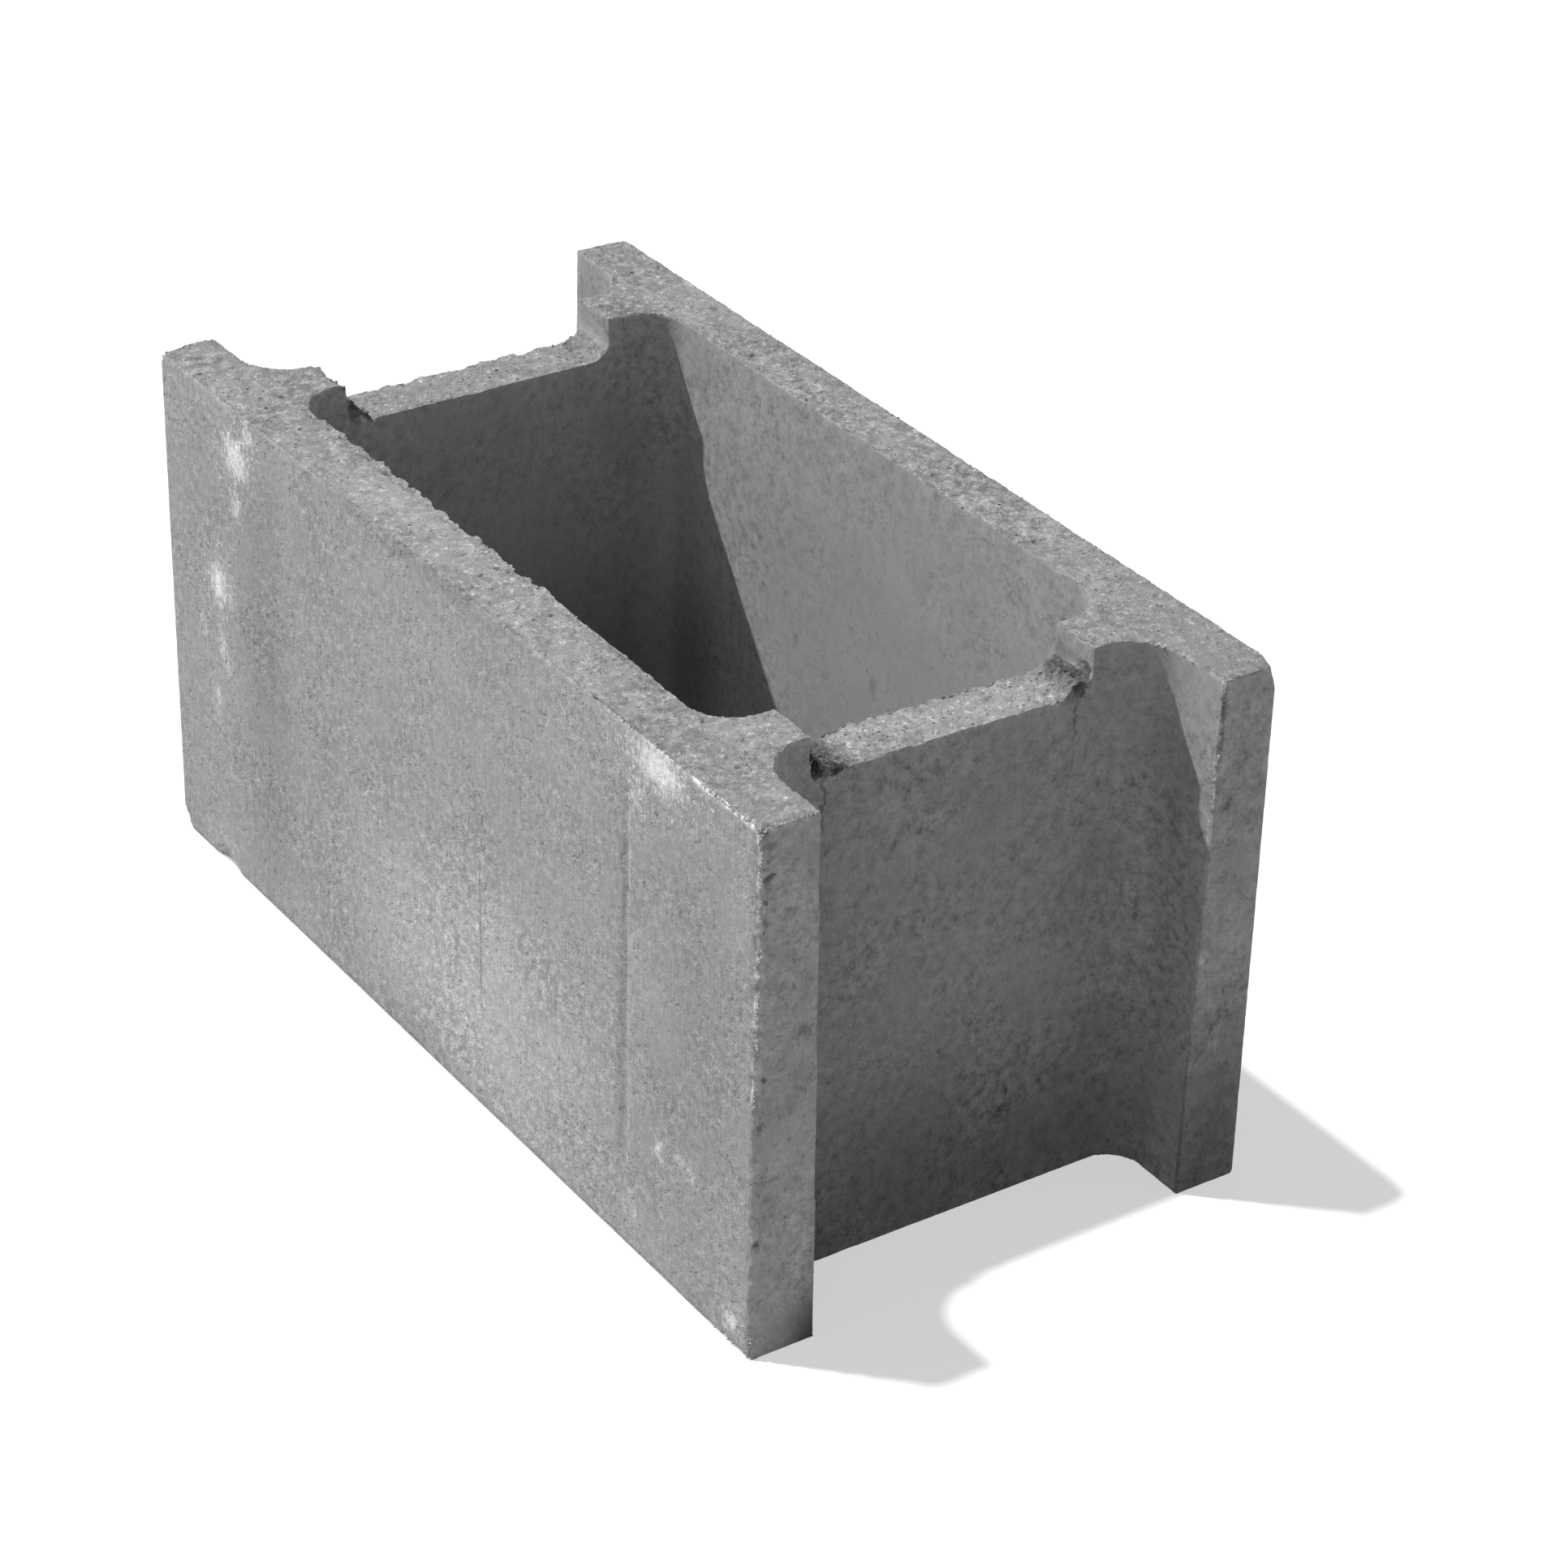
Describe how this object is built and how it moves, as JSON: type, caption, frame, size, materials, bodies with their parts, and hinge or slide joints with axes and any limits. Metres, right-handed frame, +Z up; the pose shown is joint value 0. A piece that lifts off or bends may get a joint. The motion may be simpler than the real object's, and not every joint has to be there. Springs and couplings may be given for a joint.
{
  "type": "concrete foundation block",
  "caption": "Hollow concrete foundation block for filled walls: long side walls joined by tapered webs with saddle notches, a through cavity and open half pockets at the ends.",
  "frame": {"origin": "middle of the base, on the level that the block stands on", "axes": "+X along the block's length, +Y across its width, +Z up through the cavity towards the edge with the saddles"},
  "size_m": [0.5, 0.25, 0.25],
  "materials": {
    "concrete": "pressed concrete, matt, open grain on the top, rubbed on the sides"
  },
  "bodies": {
    "root": {"foundation_block": "concrete"}
  },
  "joints": []
}
